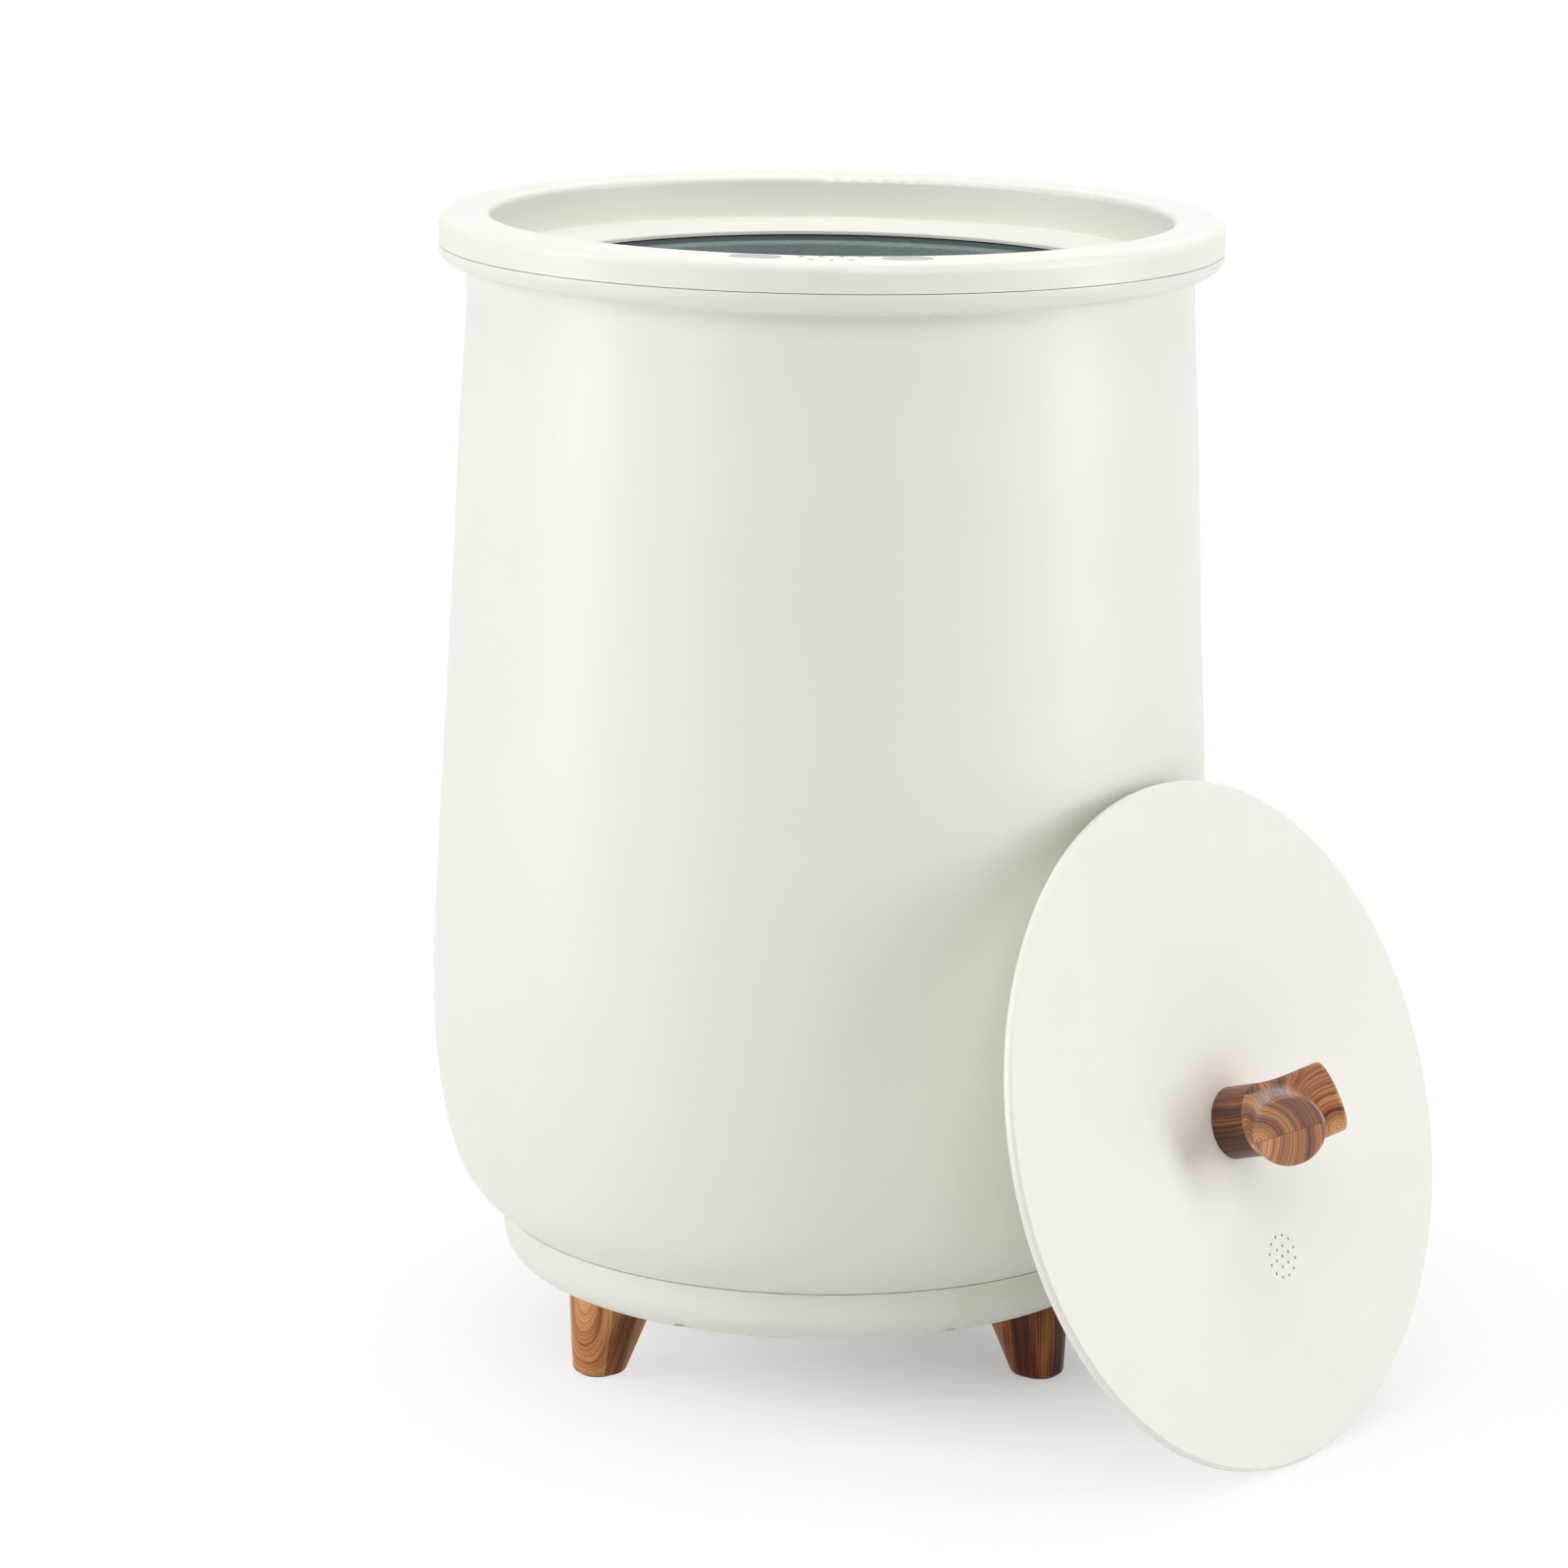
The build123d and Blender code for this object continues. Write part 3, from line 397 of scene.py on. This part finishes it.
# ------------------------------------------------------------------ wood of the handle
LID_AZIMUTH = math.radians(-38.8)    # of the lid's face, from +X towards +Y
LID_LEAN = math.radians(17.0)
LID_SPIN = math.radians(13.0)        # turn of the handle in the lid's plane
LID_CENTRE = Vector((0.1700, -0.1281, 0.13715))
FORK_HEIGHT = 0.024                  # from the lid's centre to the fork of the handle
ARM_LENGTH = 0.0235
ARM_ANGLE = math.radians(48)
SEAM_SLOPE = math.radians(17.6)      # of the glue line across the near arm's end


def handle_blocks():
    """The near arm's upper and lower half, the far arm, and the stem."""
    normal = Vector((math.cos(LID_AZIMUTH) * math.cos(LID_LEAN),
                     math.sin(LID_AZIMUTH) * math.cos(LID_LEAN), math.sin(LID_LEAN)))
    across = Vector((-math.sin(LID_AZIMUTH), math.cos(LID_AZIMUTH), 0))
    upward = normal.cross(across)
    towards_far_arm = across * math.cos(LID_SPIN) + upward * math.sin(LID_SPIN)
    arm = normal * math.cos(ARM_ANGLE) - towards_far_arm * math.sin(ARM_ANGLE)
    arm_end = LID_CENTRE + normal * FORK_HEIGHT + arm * ARM_LENGTH
    face_right = (Vector((1, 0, 0)) - arm * arm.x).normalized()
    face_up = arm.cross(face_right)

    def on_end_face(right, up):
        """Point in the plane of the near arm's end, from its middle."""
        return arm_end + face_right * right + face_up * up

    return [
        Block(heart=on_end_face(-0.0118, -0.0039), grain=arm, depth=-0.06, lacquer=1.0),
        Block(heart=on_end_face(-0.0210, -0.0060), grain=arm, depth=-0.22, lacquer=1.0,
              glued_at=on_end_face(0.0, -0.0006),
              glue_facing=face_up * math.cos(SEAM_SLOPE) - face_right * math.sin(SEAM_SLOPE)),
        # The far arm is a lighter block of wood, and part of its lightness is painted light that offsets
        # the shadow the near arm casts on it.
        Block(heart=Vector((0.2109, -0.1410, 0.1424)), grain=arm, depth=-0.14, lacquer=0.25,
              glued_at=LID_CENTRE - towards_far_arm * 0.006, glue_facing=-towards_far_arm),
        Block(heart=LID_CENTRE + upward * 0.024 + across * 0.012, grain=normal, depth=0.02, lacquer=0.6,
              glued_at=LID_CENTRE + normal * 0.016, glue_facing=normal)]


dress("handle", walnut("walnut_handle", handle_blocks()))

# ------------------------------------------------------------------ solder joints
JOINT_SIZES = {"Length": 0.072, "Width": 0.060, "Pitch": 0.004, "Height": 0.0559, "Bead Radius": 0.0009,
               "Left Empty": 0.62}
BEAD_FLATNESS = 0.55
BEAD_SEED = 7


def raster_tree(material):
    """Node tree: flattened beads on some of the points of a raster, with a fixed seed."""
    tree = bpy.data.node_groups.new("solder_joints", "GeometryNodeTree")
    tree.interface.new_socket("Geometry", in_out="OUTPUT", socket_type="NodeSocketGeometry")
    for name in JOINT_SIZES:
        tree.interface.new_socket(name, in_out="INPUT", socket_type="NodeSocketFloat")
    wiring = Wiring(tree)
    length, width, pitch, height, radius, left_empty = [
        wiring.node("NodeGroupInput", out=name) for name in JOINT_SIZES]
    raster = wiring.node("GeometryNodeMeshGrid", values={
        "Size X": length, "Size Y": width,
        "Vertices X": length / pitch + 1.0, "Vertices Y": width / pitch + 1.0})
    empty = wiring.node("FunctionNodeRandomValue", {"data_type": "BOOLEAN"},
                        {"Probability": left_empty, "Seed": BEAD_SEED}, out=3)
    used = wiring.node("GeometryNodeDeleteGeometry", {"domain": "POINT"},
                       {"Geometry": raster, "Selection": empty})
    bead = wiring.node("GeometryNodeMeshUVSphere", values={"Segments": 8, "Rings": 5, "Radius": radius})
    beads = wiring.node("GeometryNodeInstanceOnPoints", values={
        "Points": used, "Instance": bead, "Scale": (1.0, 1.0, BEAD_FLATNESS)})
    lifted = wiring.node("GeometryNodeTransform", values={
        "Geometry": beads, "Translation": wiring.vector(0.0, 0.0, height)})
    real = wiring.node("GeometryNodeRealizeInstances", values={"Geometry": lifted})
    painted = wiring.node("GeometryNodeSetMaterial", values={"Geometry": real, "Material": material})
    wiring.node("NodeGroupOutput", values={"Geometry": painted})
    return tree


def solder_joints():
    """Beads under the power board, whose underside is 56 mm above the floor."""
    joints = new_object("solder_joints", bpy.data.meshes.new("raster"))
    modifier = joints.modifiers.new("raster", "NODES")
    modifier.node_group = raster_tree(finishes["steel"])
    for item in modifier.node_group.interface.items_tree:
        if item.in_out == "INPUT":
            modifier[item.identifier] = JOINT_SIZES[item.name]
    plain = bpy.data.meshes.new_from_object(joints.evaluated_get(bpy.context.evaluated_depsgraph_get()))
    joints.modifiers.remove(modifier)
    # The plain mesh comes with an empty slot before the steel, so its slots are made anew.
    plain.materials.clear()
    plain.materials.append(finishes["steel"])
    for face in plain.polygons:
        face.use_smooth = True
        face.material_index = 0
    joints.data = plain
    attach(joints, "bucket")


solder_joints()

# ------------------------------------------------------------------ camera
CAMERA_PLACE = (0, -2.250, 0.75386)
CAMERA_TURN = math.radians(0.429642)     # to the left
CAMERA_TILT = math.radians(12.667383)    # down
CAMERA_ROLL = math.radians(0.786796)     # anticlockwise, seen from behind the camera

camera = new_object("camera", bpy.data.cameras.new("camera"))
camera.matrix_world = (
    Matrix.Translation(CAMERA_PLACE) @ Matrix.Rotation(CAMERA_TURN, 4, "Z")
    @ Matrix.Rotation(math.radians(90) - CAMERA_TILT, 4, "X") @ Matrix.Rotation(CAMERA_ROLL, 4, "Z"))
camera.data.lens = 123.20
camera.data.sensor_width = 36.0
camera.data.clip_end = 50
bpy.context.scene.camera = camera


# ------------------------------------------------------------------ floor and light
def backdrop_mesh():
    """Flat floor that curves up into a wall."""
    half_width, near, bend, radius, top = 7.0, -5.0, 2.5, 1.5, 5.0
    steps = 12
    outline = [(near, 0.0)]
    for step in range(steps + 1):
        angle = math.radians(90 * step / steps)
        outline.append((bend + radius * math.sin(angle), radius - radius * math.cos(angle)))
    outline.append((bend + radius, top))
    sheet = bmesh.new()
    rows = [[sheet.verts.new((x, y, z)) for x in (-half_width, half_width)] for y, z in outline]
    for low, high in zip(rows, rows[1:]):
        sheet.faces.new((low[0], low[1], high[1], high[0])).smooth = True
    data = bpy.data.meshes.new("backdrop")
    sheet.to_mesh(data)
    sheet.free()
    return data


def backdrop_paint():
    """White to the camera, where only the floor about the object shows its shadow.

    Light that the sheet throws on the object comes from pale grey paint."""
    f = Finish("backdrop_paint")
    seen = f.seen()
    x, y = f.axes(f.place)[:2]
    distance = ((x - 0.08) ** 2.0 + y * y).root()    # from a point between the bucket and the lid
    plainness = f.node("ShaderNodeMapRange", values={
        "Value": distance, "From Min": 0.02, "From Max": 0.29, "To Min": 0.30, "To Max": 1.0})
    grain = f.noise(scale=3.0, detail=2.0)
    pale_grey = f.mix(grain, (0.87, 0.87, 0.87), (0.89, 0.89, 0.89))
    lit = f.node("ShaderNodeBsdfDiffuse", values={"Color": f.mix(seen, pale_grey, WHITE)})
    plain = f.node("ShaderNodeEmission", values={"Color": (*WHITE, 1), "Strength": 1.0})
    both = f.node("ShaderNodeMixShader", values={0: plainness * seen, 1: lit, 2: plain})
    f.node("ShaderNodeOutputMaterial", values={"Surface": both})
    return f.material


def lamp(name, place, target, size, watts):
    """Softbox at a place, turned to its target."""
    light = bpy.data.lights.new(name, "AREA")
    light.shape = "RECTANGLE"
    light.size, light.size_y = size
    light.energy = watts
    made = new_object(name, light)
    made.location = place
    made.rotation_euler = (Vector(target) - Vector(place)).to_track_quat("-Z", "Y").to_euler()


backdrop = new_object("backdrop", backdrop_mesh())
backdrop.data.materials.append(backdrop_paint())

lamp("left_softbox", place=(-2.6, -0.50, 1.0), target=(0, 0, 0.25), size=(0.7, 2.2), watts=29)
lamp("left_front_softbox", place=(-1.9, -1.9, 1.1), target=(0, 0, 0.25), size=(1.2, 2.0), watts=11)
lamp("right_softbox", place=(2.6, -0.50, 1.0), target=(0, 0, 0.25), size=(1.0, 2.2), watts=36)
lamp("overhead", place=(0, 0.1, 3.0), target=(0, 0, 0), size=(2.6, 2.6), watts=45)
lamp("back_softbox", place=(0.5, 2.4, 2.2), target=(0, 0, 0.3), size=(1.8, 1.2), watts=6)
lamp("front_top_softbox", place=(0, -2.1, 2.3), target=(0, 0, 0.3), size=(2.4, 1.2), watts=23)

# The room is nearly dark to the object and white to the camera.
world = bpy.data.worlds.new("studio")
world.use_nodes = True
bpy.context.scene.world = world
room = Wiring(world.node_tree)
dim, white = [room.node("ShaderNodeBackground", values={"Color": (*WHITE, 1), "Strength": strength})
              for strength in (0.04, 1.0)]
room.node("ShaderNodeOutputWorld", values={
    "Surface": room.node("ShaderNodeMixShader", values={0: room.seen(), 1: dim, 2: white})})
bpy.context.scene.view_settings.view_transform = "Standard"
